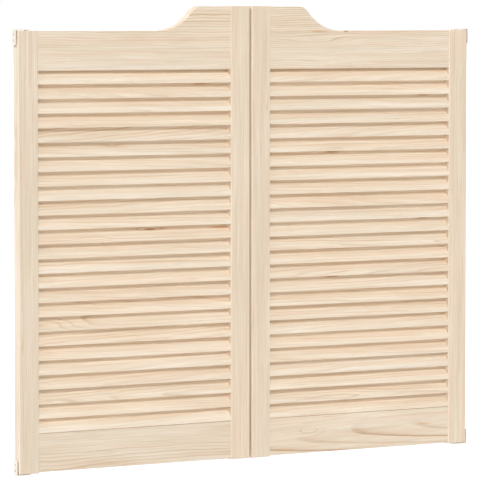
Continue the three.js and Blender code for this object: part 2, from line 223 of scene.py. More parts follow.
def skin(points, rows, columns, looped):
    """Faces of a surface made of closed rings: quads between neighbouring rings, and a face over
    each end ring, or quads from the last ring to the first if it is looped. The sum over the quads
    of corner dot cross product is positive for an outward skin; otherwise all faces are turned."""
    at = np.arange(rows * columns).reshape(rows, columns)
    near, far = (at, np.roll(at, -1, axis=0)) if looped else (at[:-1], at[1:])
    quads = np.stack([near, np.roll(near, -1, axis=1), np.roll(far, -1, axis=1), far], axis=-1)
    quads = quads.reshape(-1, 4)
    ends = [] if looped else [at[0, ::-1], at[-1]]
    a, b, c, d = (points[quads[:, i]] for i in range(4))
    enclosed = (a * np.cross(b, c)).sum() + (a * np.cross(c, d)).sum()
    turn = -1 if enclosed < 0 else 1
    return quads[:, ::turn], [end[::turn] for end in ends]


def put_piece(name, surfaces, crease, finish, body, node, looped=False, layers=None):
    """Object made of surfaces, each a grid of rings of points, that rides a body and stands for a
    node. Layers are vectors on its points."""
    points, faces, start = [], [], 0
    for rings in surfaces:
        flat = rings.reshape(-1, 3)
        quads, ends = skin(flat, *rings.shape[:2], looped)
        faces += (quads + start).tolist() + [(end + start).tolist() for end in ends]
        points.append(flat)
        start += len(flat)
    mesh = bpy.data.meshes.new(name)
    mesh.from_pydata(np.concatenate(points).tolist(), [], faces)
    mesh.update()
    mesh.shade_smooth()
    mesh.set_sharp_from_angle(angle=math.radians(crease))
    for key, values in (layers or {}).items():
        layer = mesh.attributes.new(key, "FLOAT_VECTOR", "POINT")
        layer.data.foreach_set("vector", values.astype(np.float32).ravel())
    mesh.materials.append(finish)
    piece = bpy.data.objects.new(name, mesh)
    bpy.context.scene.collection.objects.link(piece)
    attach(piece, body)
    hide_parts(node)


# Marks that a board can have. One that it hasn't is put 9 m along it, out of reach.
MARKS = ("knot", "swirl", "streak")
UNMARKED = (9000.0, 0.0, 1.0, 2.0)
LAYERS = ("grain", "board", "figure", *MARKS)


class Board:
    """One piece of timber: its rings of points and its place in the log it was cut from."""

    def __init__(self, rings, axes, pith, ring, tone=0.0, warmth=0.0, taper=0.0, lean=0.0,
                 figure=(0.5, 0.5), wander=1.0, stain=1.0, **marks):
        """axes gives the along, across and depth directions; pith is the log's middle in
        millimetres across, into and along the board from its own middle, and ring the width of a
        year. Taper and lean tilt the log into and across the board. Figure is the strength of
        the late wood at the lower and the upper edge, where less than none shows as none and more
        than full as full; wander is the share of the log's bends that shows. A mark is its place
        along and across, its size and how many times longer than wide it is: a knot or a streak of
        resin, both as dark as stain says, or a swirl, which is a knot that lies under the
        surface."""
        self.rings = rings
        points = rings.reshape(-1, 3)
        middle = (points.min(axis=0) + points.max(axis=0)) / 2
        own = (points - middle) @ np.asarray(axes, float).T / MM
        self.grain = own + np.array([pith[2], -pith[0], -pith[1]])
        self.grain[:, 1] += own[:, 0] * lean
        self.grain[:, 2] += own[:, 0] * taper
        self.board = np.broadcast_to((tone, warmth, ring), own.shape)
        height = (own[:, 1] - own[:, 1].min()) / np.ptp(own[:, 1])
        strength = figure[0] + (figure[1] - figure[0]) * height
        self.figure = np.column_stack(np.broadcast_arrays(strength, wander, stain))
        for mark in MARKS:
            along, across, size, stretch = marks.get(mark, UNMARKED)
            place = np.broadcast_arrays((own[:, 0] - along) / stretch, own[:, 1] - across, size)
            setattr(self, mark, np.column_stack(place))


def timber_piece(name, boards, finish, body, node):
    """Piece made of whole boards, with the timber's own coordinates on its points."""
    layers = {key: np.concatenate([getattr(board, key) for board in boards]) for key in LAYERS}
    surfaces = [board.rings for board in boards]
    put_piece(name, surfaces, BOARD_CREASE, finish, body, node, layers=layers)


def turned_piece(name, profile, centre, finish, body, node):
    """Profile of radius and height carried round an upright axis. One that comes back to its
    first point makes a tube, and any other is closed at its ends."""
    outline = np.asarray(profile, float)
    looped = np.allclose(outline[0], outline[-1])
    if looped:
        outline = outline[:-1]
    around = np.linspace(0, 2 * math.pi, TURNED_STEPS, endpoint=False)
    radius, height = outline[:, :1], outline[:, 1:]
    rings = np.stack(np.broadcast_arrays(
        centre[0] + radius * np.cos(around), centre[1] + radius * np.sin(around), height), axis=-1)
    put_piece(name, [rings], TURNED_CREASE, finish, body, node, looped)


def feed(tree, node, inputs):
    """Sets a node's inputs, each to a plain value, a socket or another node's first output."""
    for key, value in inputs.items():
        if isinstance(value, bpy.types.Node):
            value = value.outputs[0]
        if isinstance(value, bpy.types.NodeSocket):
            tree.links.new(value, node.inputs[key])
        else:
            node.inputs[key].default_value = value


def add_node(tree, kind, settings=None, inputs=None):
    """Adds a node with its settings and what feeds it."""
    made = tree.nodes.new(kind)
    for key, value in (settings or {}).items():
        setattr(made, key, value)
    feed(tree, made, inputs or {})
    return made


def new_material(name):
    made = bpy.data.materials.new(name)
    made.use_nodes = True
    tree = made.node_tree
    return made, tree, tree.nodes["Principled BSDF"]


# Nearly all of a noise's values lie between these two.
NOISE_LOW = 0.3
NOISE_HIGH = 0.7

# Darkness of the wood across a year's ring: early wood rises slowly to the late wood, which ends
# sharply at the ring's edge.
RING_EDGE = 0.08
RING_STOPS = ((0.10, 0.0), (0.55, 0.10), (0.78, 0.45), (0.87, 1.0), (0.96, 0.9))

# Patterns along the grain: millimetres from one patch to the next along and across the log, and
# detail. Fibres are about a tenth of a millimetre wide, and drawn at 1 mm so that they show.
PINE_PATTERNS = {
    "fibre": (60.0, 1.0, 3.0),
    "streak": (240.0, 6.0, 2.0),
    "hue": (320.0, 9.0, 1.0),
    "cloud": (210.0, 38.0, 1.0),
    "seep": (90.0, 2.2, 1.0),
}


def planed_pine(name, pine):
    """Planed bare Scots pine. Bare softwood is matt and pale; each year's ring is a broad pale
    band that darkens into a thin amber line, drawn here from the board's place in its log, so
    that faces, edges and ends agree. Coordinates are millimetres."""
    made, tree, shader = new_material(name)
    layer = {}
    for key in LAYERS:
        layer[key] = add_node(tree, "ShaderNodeAttribute", {"attribute_name": key}).outputs["Vector"]
    grain = layer["grain"]
    tone, warmth, ring_width = add_node(tree, "ShaderNodeSeparateXYZ", inputs={0: layer["board"]}).outputs
    strength, wander, stain = add_node(tree, "ShaderNodeSeparateXYZ", inputs={0: layer["figure"]}).outputs

    # The log's slow bends: about one in 170 mm of length, up to 5.5 mm sideways.
    sway = 11.0
    slow = add_node(tree, "ShaderNodeVectorMath", {"operation": "MULTIPLY"},
                    {0: grain, 1: (1 / 170, 1 / 42, 1 / 42)})
    bend = add_node(tree, "ShaderNodeTexNoise", inputs={"Vector": slow, "Scale": 1.0, "Detail": 2.0})
    bend_mm = add_node(tree, "ShaderNodeVectorMath", {"operation": "MULTIPLY_ADD"},
                       {0: bend.outputs["Color"], 1: (0.0, sway, sway), 2: (0.0, -sway / 2, -sway / 2)})
    bend_own = add_node(tree, "ShaderNodeVectorMath", {"operation": "SCALE"}, {0: bend_mm, "Scale": wander})
    bent = add_node(tree, "ShaderNodeVectorMath", {"operation": "ADD"}, {0: grain, 1: bend_own})
    cross = add_node(tree, "ShaderNodeVectorMath", {"operation": "MULTIPLY"}, {0: bent, 1: (0.0, 1.0, 1.0)})
    radius = add_node(tree, "ShaderNodeVectorMath", {"operation": "LENGTH"}, {0: cross}).outputs["Value"]

    # How far off each mark is, in its own sizes.
    size, off = {}, {}
    for mark in MARKS:
        size[mark] = add_node(tree, "ShaderNodeSeparateXYZ", inputs={0: layer[mark]}).outputs["Z"]
        flat = add_node(tree, "ShaderNodeVectorMath", {"operation": "MULTIPLY"},
                        {0: layer[mark], 1: (1.0, 1.0, 0.0)})
        far = add_node(tree, "ShaderNodeVectorMath", {"operation": "LENGTH"}, {0: flat}).outputs["Value"]
        off[mark] = add_node(tree, "ShaderNodeMath", {"operation": "DIVIDE"}, {0: far, 1: size[mark]})

    # A knot pushes the rings round itself, and so does one that lies under the surface: by 2.2
    # times its size in its middle, and less further off, along a bell curve.
    bulge, steepness = 2.2, -0.22
    for mark in ("knot", "swirl"):
        square = add_node(tree, "ShaderNodeMath", {"operation": "MULTIPLY"}, {0: off[mark], 1: off[mark]})
        fall = add_node(tree, "ShaderNodeMath", {"operation": "MULTIPLY"}, {0: square, 1: steepness})
        bell = add_node(tree, "ShaderNodeMath", {"operation": "EXPONENT"}, {0: fall})
        push = add_node(tree, "ShaderNodeMath", {"operation": "MULTIPLY"}, {0: bell, 1: size[mark]})
        radius = add_node(tree, "ShaderNodeMath", {"operation": "MULTIPLY_ADD"},
                          {0: push, 1: bulge, 2: radius})

    # Rings: some years grew stronger late wood than others.
    year = add_node(tree, "ShaderNodeMath", {"operation": "DIVIDE"}, {0: radius, 1: ring_width})
    within = add_node(tree, "ShaderNodeMath", {"operation": "FRACT"}, {0: year})
    whole = add_node(tree, "ShaderNodeMath", {"operation": "FLOOR"}, {0: year})
    ramp = add_node(tree, "ShaderNodeValToRGB", inputs={0: within})
    stops = ramp.color_ramp.elements
    for stop in stops:
        stop.color = (RING_EDGE, RING_EDGE, RING_EDGE, 1)
    for place, level in RING_STOPS:
        stops.new(place).color = (level, level, level, 1)
    luck = add_node(tree, "ShaderNodeTexWhiteNoise", {"noise_dimensions": "1D"}, {"W": whole})
    vigour = add_node(tree, "ShaderNodeMapRange", inputs={0: luck, 3: 0.35, 4: 1.0})
    ring = add_node(tree, "ShaderNodeMath", {"operation": "MULTIPLY"}, {0: ramp, 1: vigour})

    pattern = {}
    for key, (along, across, detail) in PINE_PATTERNS.items():
        place = grain if key == "cloud" else bent
        drawn_out = add_node(tree, "ShaderNodeVectorMath", {"operation": "MULTIPLY"},
                             {0: place, 1: (1 / along, 1 / across, 1 / across)})
        pattern[key] = add_node(tree, "ShaderNodeTexNoise",
                                inputs={"Vector": drawn_out, "Scale": 1.0, "Detail": detail})

    # Resin seeps in thin threads in parts of a board, and gathers in a streak or round a knot.
    thread = add_node(tree, "ShaderNodeMapRange", inputs={0: pattern["seep"], 1: 0.60, 2: 0.78})
    part = add_node(tree, "ShaderNodeMapRange", inputs={0: pattern["cloud"], 1: 0.54, 2: 0.68, 4: 0.55})
    seep = add_node(tree, "ShaderNodeMath", {"operation": "MULTIPLY"}, {0: thread, 1: part})
    shade = {}
    for key, mark, outer, inner, most in (
            ("gather", "streak", 1.4, 0.2, 0.8), ("rim", "knot", 2.2, 0.9, 0.35),
            ("heart", "knot", 1.15, 0.55, 1.0)):
        shade[key] = add_node(tree, "ShaderNodeMapRange", {"interpolation_type": "SMOOTHSTEP"},
                              {0: off[mark], 1: outer, 2: inner, 4: most})
    gather = add_node(tree, "ShaderNodeMath", {"operation": "MULTIPLY"}, {0: shade["gather"], 1: stain})
    heart = add_node(tree, "ShaderNodeMath", {"operation": "MULTIPLY"}, {0: shade["heart"], 1: stain})
    resin = add_node(tree, "ShaderNodeMath", {"operation": "MAXIMUM"}, {0: seep, 1: gather})

    # Colour: rings, then tint of the board, then resin and knots.
    capped = add_node(tree, "ShaderNodeMath", {"operation": "MINIMUM"}, {0: strength, 1: 1.0})
    late = add_node(tree, "ShaderNodeMath", {"operation": "MULTIPLY"}, {0: ring, 1: capped})
    ripe = add_node(tree, "ShaderNodeMapRange", {"clamp": False},
                    {0: pattern["hue"], 1: NOISE_LOW, 2: NOISE_HIGH, 3: -0.8, 4: 0.8})
    tint = add_node(tree, "ShaderNodeMath", {"operation": "ADD"}, {0: ripe, 1: warmth})
    deep = add_node(tree, "ShaderNodeMapRange", inputs={0: tint, 1: 0.0, 2: 1.4, 4: 0.5})
    pale = add_node(tree, "ShaderNodeMapRange", inputs={0: tint, 1: 0.0, 2: -1.4, 4: 0.5})
    wood = (*pine.early, 1)
    for share, stained in (
            (late, pine.late), (deep, pine.deep), (pale, pine.pale),
            (resin, pine.resin), (shade["rim"], pine.resin), (heart, pine.knot)):
        mixed = add_node(tree, "ShaderNodeMix", {"data_type": "RGBA"},
                         {0: share, 6: wood, 7: (*stained, 1)})
        wood = mixed.outputs[2]

    # Light and dark, where the dark is amber because dense wood takes more out of blue than red.
    light = 1.0
    for key, swing in (("fibre", 0.05), ("streak", 0.07), ("cloud", 0.03)):
        swung = add_node(tree, "ShaderNodeMapRange",
                         inputs={0: pattern[key], 1: NOISE_LOW, 2: NOISE_HIGH, 3: -swing, 4: swing})
        light = add_node(tree, "ShaderNodeMath", {"operation": "ADD"}, {0: light, 1: swung})
    amber = add_node(tree, "ShaderNodeVectorMath", {"operation": "MULTIPLY_ADD"},
                     {0: light, 1: (0.75, 1.0, 1.4), 2: (0.25, 0.0, -0.4)})
    lit = add_node(tree, "ShaderNodeVectorMath", {"operation": "MULTIPLY"}, {0: wood, 1: amber})
    own_tone = add_node(tree, "ShaderNodeMath", {"operation": "ADD"}, {0: tone, 1: 1.0})
    shown = add_node(tree, "ShaderNodeVectorMath", {"operation": "SCALE"}, {0: lit, "Scale": own_tone})

    # Planing leaves the hard rings a few hundredths of a millimetre proud of the soft wood.
    relief = add_node(tree, "ShaderNodeMath", {"operation": "MULTIPLY_ADD"},
                      {0: ring, 1: 0.5, 2: pattern["fibre"]})
    bump = add_node(tree, "ShaderNodeBump",
                    inputs={"Strength": 0.35, "Distance": 0.12 * MM, "Height": relief})
    rough = add_node(tree, "ShaderNodeMapRange", inputs={0: ring, 3: 0.68, 4: 0.55})
    feed(tree, shader, {
        "Base Color": shown, "Normal": bump, "Roughness": rough, "IOR": 1.45, "Specular IOR Level": 0.35})
    return made


def mottle(tree, base, pattern, dark, light, low=NOISE_LOW, high=NOISE_HIGH):
    """Base colour times a tone that goes from dark to light as the pattern goes from low to high."""
    tone = add_node(tree, "ShaderNodeMapRange", inputs={0: pattern, 1: low, 2: high, 3: dark, 4: light})
    return add_node(tree, "ShaderNodeVectorMath", {"operation": "SCALE"}, {0: base, "Scale": tone})


def stoved_enamel(name, base):
    """White stoved enamel on pressed steel: a hard satin skin with a faint orange peel, 2 mm from
    dimple to dimple, and a slight yellowing in patches of 15 mm."""
    made, tree, shader = new_material(name)
    place = add_node(tree, "ShaderNodeTexCoord").outputs["Object"]
    patch = add_node(tree, "ShaderNodeTexNoise",
                     inputs={"Vector": place, "Scale": 1 / (15 * MM), "Detail": 2.0})
    peel = add_node(tree, "ShaderNodeTexNoise",
                    inputs={"Vector": place, "Scale": 1 / (2 * MM), "Detail": 1.0})
    bump = add_node(tree, "ShaderNodeBump",
                    inputs={"Strength": 0.2, "Distance": 0.1 * MM, "Height": peel})
    feed(tree, shader, {
        "Base Color": mottle(tree, base, patch, 0.96, 1.02), "Normal": bump, "Roughness": 0.35})
    return made


def zinc_plate(name, base):
    """Bright zinc on turned steel: a cool grey metal with a faint cloudy spangle, 4 mm across,
    and light scuffs from handling, about 1 mm apart."""
    made, tree, shader = new_material(name)
    place = add_node(tree, "ShaderNodeTexCoord").outputs["Object"]
    spangle = add_node(tree, "ShaderNodeTexVoronoi", inputs={"Vector": place, "Scale": 1 / (4 * MM)})
    scuff = add_node(tree, "ShaderNodeTexNoise",
                     inputs={"Vector": place, "Scale": 1 / (1.2 * MM), "Detail": 3.0})
    rough = add_node(tree, "ShaderNodeMapRange",
                     inputs={0: scuff, 1: NOISE_LOW, 2: NOISE_HIGH, 3: 0.30, 4: 0.46})
    feed(tree, shader, {
        "Base Color": mottle(tree, base, spangle, 1.06, 0.9, low=0.0, high=0.8),
        "Roughness": rough, "Metallic": 1.0})
    return made


def spring_wire(name, base):
    """Drawn spring wire: dark bright steel under a film of oil, which is patchy, 0.4 mm from one
    patch to the next."""
    made, tree, shader = new_material(name)
    place = add_node(tree, "ShaderNodeTexCoord").outputs["Object"]
    film = add_node(tree, "ShaderNodeTexNoise",
                    inputs={"Vector": place, "Scale": 1 / (0.4 * MM), "Detail": 2.0})
    feed(tree, shader, {
        "Base Color": mottle(tree, base, film, 0.85, 1.1), "Metallic": 1.0, "Roughness": 0.3})
    return made


def natural_nylon(name, base):
    """Moulded natural nylon: a waxy off-white with a satin skin, broken by fine mould grain of
    0.6 mm."""
    made, tree, shader = new_material(name)
    place = add_node(tree, "ShaderNodeTexCoord").outputs["Object"]
    grit = add_node(tree, "ShaderNodeTexNoise",
                    inputs={"Vector": place, "Scale": 1 / (0.6 * MM), "Detail": 2.0})
    rough = add_node(tree, "ShaderNodeMapRange",
                     inputs={0: grit, 1: NOISE_LOW, 2: NOISE_HIGH, 3: 0.40, 4: 0.5})
    feed(tree, shader, {
        "Base Color": mottle(tree, base, grit, 0.97, 1.02), "Roughness": rough, "IOR": 1.53})
    return made


def material(name, make, *facts):
    """The named material, made the first time it is asked for."""
    return bpy.data.materials.get(name) or make(name, *facts)


def pine_of(context):
    return material("planed pine", planed_pine, context.scene.cafe_pine)


def leaf_body(hand):
    return f"{hand}_leaf"


def leaf_room(hand):
    """X of the two stiles' inner faces, from low to high."""
    hinge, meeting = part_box(f"{hand}_hinge_stile"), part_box(f"{hand}_meeting_stile")
    return (hinge[1][0], meeting[0][0]) if hand == "left" else (meeting[1][0], hinge[0][0])


def pin_axis(hand):
    """X and Y of the upright line that a leaf turns about."""
    low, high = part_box(f"{hand}_bottom_pin")
    return ((low[0] + high[0]) / 2, 0.0)


def timber(seed, *names):
    """Random numbers that belong to one named board."""
    code = sum((i + 1) * ord(c) for i, c in enumerate("/".join(names)))
    return np.random.default_rng([seed, code])


# Along, across and depth of an upright and of a level board.
UPRIGHT = ((0, 0, 1), (1, 0, 0), (0, 1, 0))
LEVEL = ((1, 0, 0), (0, 0, 1), (0, 1, 0))

# The rails' boards, in millimetres from a rail's middle.
RAIL_BOARDS = {
    "left_top_rail": {
        "pith": (84.0, 40.0, 400.0), "ring": 4.4, "tone": 0.03, "warmth": 0.05, "figure": (0.05, 1.1)},
    "right_top_rail": {
        "pith": (-111.3, 30.0, 900.0), "ring": 4.0, "tone": 0.03, "taper": 0.02, "figure": (0.3, 1.0),
        "knot": (-36.0, 12.6, 1.5, 3.0), "stain": 0.75, "swirl": (-100.0, -9.0, 4.6, 9.0),
        "streak": (-100.0, 12.4, 2.3, 10.0)},
    "left_bottom_rail": {
        "pith": (-60.0, 40.0, 1500.0), "ring": 4.2, "taper": 0.02, "lean": 0.02, "figure": (0.7, 0.2)},
    "right_bottom_rail": {
        "pith": (8.0, 84.1, 2300.0), "ring": 5.2, "tone": 0.02, "warmth": 0.1, "taper": 0.034,
        "lean": -0.03, "figure": (1.75, -0.6), "wander": 0.2, "swirl": (-121.0, 9.0, 4.4, 3.2),
        "streak": (153.0, 5.8, 2.4, 8.0), "stain": 0.55},
}

# Slats come from paler boards than the frame.
SLAT_TONE = 0.095

# Slats that are marked: what differs from the draw, in millimetres from the slat's middle.
FLAT_SAWN = {"ring": 5.0, "taper": 0.0, "lean": 0.0, "wander": 0.3}
MARKED_SLATS = {
    ("left", 2): {"knot": (152.0, 13.0, 1.6, 9.0), "stain": 0.35},
    ("left", 5): {"lean": -0.08, "figure": (0.5, 0.9)},
    ("left", 6): {"swirl": (-49.0, 2.0, 3.0, 3.0), "streak": (-47.0, 3.0, 4.0, 8.0), "stain": 0.45},
    ("left", 12): {
        **FLAT_SAWN, "pith": (0.0, 44.5, 700.0), "figure": (0.6, 0.8), "knot": (38.0, 8.0, 2.0, 7.0),
        "stain": 0.9, "swirl": (-98.0, -17.0, 4.15, 3.4), "streak": (199.0, 7.5, 3.6, 8.0)},
    ("left", 18): {
        **FLAT_SAWN, "pith": (0.0, 44.5, 500.0), "figure": (0.3, 0.9), "swirl": (-215.0, -5.0, 8.0, 4.8)},
    ("right", 3): {"knot": (160.0, 13.0, 1.5, 10.0), "stain": 0.6},
    ("right", 7): {"knot": (-60.0, 13.0, 2.2, 8.0), "stain": 0.6},
    ("right", 12): {"knot": (160.0, 13.0, 1.5, 10.0), "stain": 0.6},
    ("right", 16): {"knot": (-60.0, 13.0, 2.2, 8.0), "stain": 0.6},
}


class CAFE_OT_stiles(bpy.types.Operator):
    """Make the four upright stiles"""

    bl_idname = "cafe_doors.stiles"
    bl_label = "Stiles"

    def execute(self, context):
        for hand in HANDS:
            for place in ("hinge", "meeting"):
                self.stile(context, hand, place)
        return {"FINISHED"}

    def stile(self, context, hand, place):
        """Rounded rectangle carried up the stile. It draws in round each end, and at a hinge
        stile's ends it runs on into the flange's recess and the pivot bore, as circles at the
        same angles."""
        work, pivot = context.scene.cafe_joinery, context.scene.cafe_pivot
        name = f"{hand}_{place}_stile"
        low, high = (np.array(v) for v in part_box(name))
        middle = (low + high) / 2
        half = (high - low) / 2
        least_round, straight = 0.4 * MM, 4 * MM

        def section(inset):
            return rounded_outline(
                rectangle(-half[0] + inset, half[0] - inset, -half[1] + inset, half[1] - inset),
                np.full(4, max(work.stile_round - inset, least_round)))

        def ring(outline, z):
            return np.column_stack([outline + middle[:2], np.full(len(outline), z)])

        bend = np.linspace(0, math.pi / 2, END_RINGS)
        end = [(work.stile_end * (1 - math.sin(a)), work.stile_end * (1 - math.cos(a))) for a in bend]
        lower = [ring(section(inset), low[2] + rise) for inset, rise in end]
        upper = [ring(section(inset), high[2] - rise) for inset, rise in reversed(end)]
        heights = np.linspace(low[2] + straight, high[2] - straight, STILE_RINGS)
        rings = lower + [ring(section(0.0), z) for z in heights] + upper
        if place == "hinge":
            face = section(work.stile_end)
            around = np.arctan2(face[:, 1], face[:, 0])
            circle = np.column_stack([np.cos(around), np.sin(around)])
            bush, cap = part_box(f"{hand}_bottom_bush"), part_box(f"{hand}_top_bush")
            hole = circle * (pivot.shank + pivot.wall + 2 * pivot.fit)
            recess = circle * ((bush[1][0] - bush[0][0]) / 2 + pivot.fit)
            floor = bush[0][2] + pivot.flange + pivot.fit
            roof = cap[1][2] - pivot.flange - pivot.fit
            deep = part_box(f"{hand}_return_spring")[1][2] + pivot.bore_room
            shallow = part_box(f"{hand}_top_pin")[0][2] - pivot.bore_room
            rings = [
                ring(hole, deep), ring(hole, floor), ring(recess, floor), ring(recess, low[2]), *rings,
                ring(recess, high[2]), ring(recess, roof), ring(hole, roof), ring(hole, shallow)]
        luck = timber(work.seed, name)
        pith = (luck.uniform(55, 95) * luck.choice((-1, 1)), luck.uniform(-25, 25), luck.uniform(0, 4000))
        strength = luck.uniform(0.2, 0.4)
        board = Board(np.array(rings), UPRIGHT, pith, luck.uniform(3.2, 4.6),
                      tone=luck.uniform(-0.02, 0.02), warmth=luck.uniform(-0.4, 0.4),
                      taper=luck.uniform(-0.01, 0.01), figure=(strength, strength))
        timber_piece(f"{name}_board", [board], pine_of(context), leaf_body(hand), name)


def put_rail(context, hand, place, xs, tops):
    """Rounded rectangle carried along X; the upper half of its blank rises with the rail's top
    edge."""
    name = f"{hand}_{place}_rail"
    low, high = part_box(name)
    half, blank = (high[1] - low[1]) / 2, 20 * MM
    arris = np.full(4, context.scene.cafe_joinery.rail_round)
    base = rounded_outline(rectangle(-half, half, 0.0, blank), arris)
    lift = np.where(base[:, 1] > blank / 2, 1.0, 0.0)
    heights = low[2] + base[:, 1] + lift * (tops[:, None] - low[2] - blank)
    rings = np.stack(np.broadcast_arrays(xs[:, None], base[:, 0], heights), axis=-1)
    board = Board(rings, LEVEL, **RAIL_BOARDS[name])
    timber_piece(f"{name}_board", [board], pine_of(context), leaf_body(hand), name)


class CAFE_OT_top_rails(bpy.types.Operator):
    """Make the two top rails with their swept ears"""

    bl_idname = "cafe_doors.top_rails"
    bl_label = "Top rails"

    def execute(self, context):
        work = context.scene.cafe_joinery
        for hand in HANDS:
            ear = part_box(f"{hand}_top_rail")[1][2]
            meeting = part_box(f"{hand}_meeting_stile")
            horn = meeting[1][2] - ear
            from_edge, tops = self.sweep(work, ear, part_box(f"{hand}_hinge_stile")[1][2] - horn)
            xs = meeting[1][0] - from_edge if hand == "left" else meeting[0][0] + from_edge
            order = np.argsort(xs)
            xs, tops = xs[order], tops[order]
            x0, x1 = leaf_room(hand)
            between = xs[(xs > x0) & (xs < x1)]
            stations = np.concatenate([[x0 - work.bite], between, [x1 + work.bite]])
            put_rail(context, hand, "top", stations, np.interp(stations, xs, tops))
        return {"FINISHED"}

    def sweep(self, work, ear, low):
        """Top edge by distance from the meeting edge: level ear, crest arc, hollow arc, level run
        to past the hinge stile. The arcs touch where both have turned through the same angle,
        whose cosine is one less the rise over the sum of the radii."""
        arc_steps, ear_steps = 17, 6
        ear_gap, run_gap, past_leaf = 2 * MM, 4 * MM, 600 * MM
        steepest = math.acos(1 - (ear - low) / (work.crest + work.hollow))
        turn = np.linspace(0, steepest, arc_steps)
        back = turn[-2::-1]
        foot = work.ear_flat + (work.crest + work.hollow) * math.sin(steepest)
        flat = np.linspace(0.0, work.ear_flat - ear_gap, ear_steps)
        level = np.linspace(foot + run_gap, past_leaf, RAIL_RINGS)
        xs = np.concatenate([
            flat, work.ear_flat + work.crest * np.sin(turn), foot - work.hollow * np.sin(back), level])
        tops = np.concatenate([
            np.full_like(flat, ear), ear - work.crest * (1 - np.cos(turn)),
            low + work.hollow * (1 - np.cos(back)), np.full_like(level, low)])
        return xs, tops


class CAFE_OT_bottom_rails(bpy.types.Operator):
    """Make the two bottom rails"""

    bl_idname = "cafe_doors.bottom_rails"
    bl_label = "Bottom rails"

    def execute(self, context):
        bite = context.scene.cafe_joinery.bite
        for hand in HANDS:
            x0, x1 = leaf_room(hand)
            stations = np.linspace(x0 - bite, x1 + bite, RAIL_RINGS)
            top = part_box(f"{hand}_bottom_rail")[1][2]
            put_rail(context, hand, "bottom", stations, np.full_like(stations, top))
        return {"FINISHED"}


class CAFE_OT_slats(bpy.types.Operator):
    """Make the sloping slats, each a board of its own"""

    bl_idname = "cafe_doors.slats"
    bl_label = "Slats"

    def execute(self, context):
        work, pine = context.scene.cafe_joinery, pine_of(context)
        for hand in HANDS:
            for node in sorted(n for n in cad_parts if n.startswith(f"{hand}_slat_")):
                numbers = [int(part) for part in node.split("_")[2:]]
                boards = [self.slat(hand, n, work) for n in range(numbers[0], numbers[-1] + 1)]
                timber_piece(f"{node}_boards", boards, pine, leaf_body(hand), node)
        return {"FINISHED"}

    def slat(self, hand, number, work):
        """Slanted section carried along X: upright nose and heel, parallel faces between them,
        rounded over at the blunt corners and barely eased at the thin ones. The top slat's heel
        is planed level where it meets the rail, so that no light shows through the joint."""
        lower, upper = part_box(f"{hand}_bottom_rail")[1][2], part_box(f"{hand}_top_rail")[0][2]
        room = upper + work.slat_trim - lower - 2 * work.joint
        pitch = (room - work.slat_overlap) / work.slat_count
        base = lower + work.joint + (work.slat_count - number) * pitch
        rise = pitch + work.slat_overlap - work.slat_nose
        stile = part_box(f"{hand}_hinge_stile")
        front, back = stile[0][1] + work.slat_setback, stile[1][1] - work.slat_setback
        deep, brow = back - front, base + work.slat_nose
        corners = [(front, base), (back, base + rise), (back, brow + rise), (front, brow)]
        radii = [work.slat_arris, work.slat_round, work.slat_arris, work.slat_round]
        if number == 1:
            roof = upper + work.joint
            corners[2:3] = [(back, roof), (front + (roof - brow) / rise * deep, roof)]
            radii[2:3] = [work.slat_arris, work.slat_arris]
        outline = rounded_outline(corners, radii, steps=6)
        x0, x1 = leaf_room(hand)
        xs = np.linspace(x0 - work.bite, x1 + work.bite, SLAT_RINGS)
        rings = np.stack(np.broadcast_arrays(xs[:, None], outline[:, 0], outline[:, 1]), axis=-1)
        slope = math.hypot(deep, rise)
        axes = ((1, 0, 0), (0, deep / slope, rise / slope), (0, -rise / slope, deep / slope))
        luck = timber(work.seed, hand, "slat", str(number))
        pith = (luck.uniform(20, 90) * luck.choice((-1, 1)), luck.uniform(-60, 60), luck.uniform(0, 9000))
        strength = luck.uniform(0.35, 0.7)
        drawn = {
            "pith": pith, "ring": luck.uniform(4.0, 7.0), "tone": SLAT_TONE + luck.uniform(-0.02, 0.02),
            "warmth": luck.uniform(-0.75, 0.15), "taper": luck.uniform(-0.03, 0.03),
            "lean": luck.normal(0.0, 0.03), "figure": (0.5 * strength, 1.2 * strength)}
        return Board(rings, axes, **{**drawn, **MARKED_SLATS.get((hand, number), {})})


class CAFE_OT_brackets(bpy.types.Operator):
    """Finish the four jamb brackets in white enamel"""

    bl_idname = "cafe_doors.brackets"
    bl_label = "Brackets"

    def execute(self, context):
        enamel = material("white stoved enamel", stoved_enamel, context.scene.cafe_metal.enamel)
        for hand in HANDS:
            for place in ("top", "bottom"):
                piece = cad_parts[f"{hand}_{place}_bracket"]
                piece.data.materials.clear()
                piece.data.materials.append(enamel)
        return {"FINISHED"}


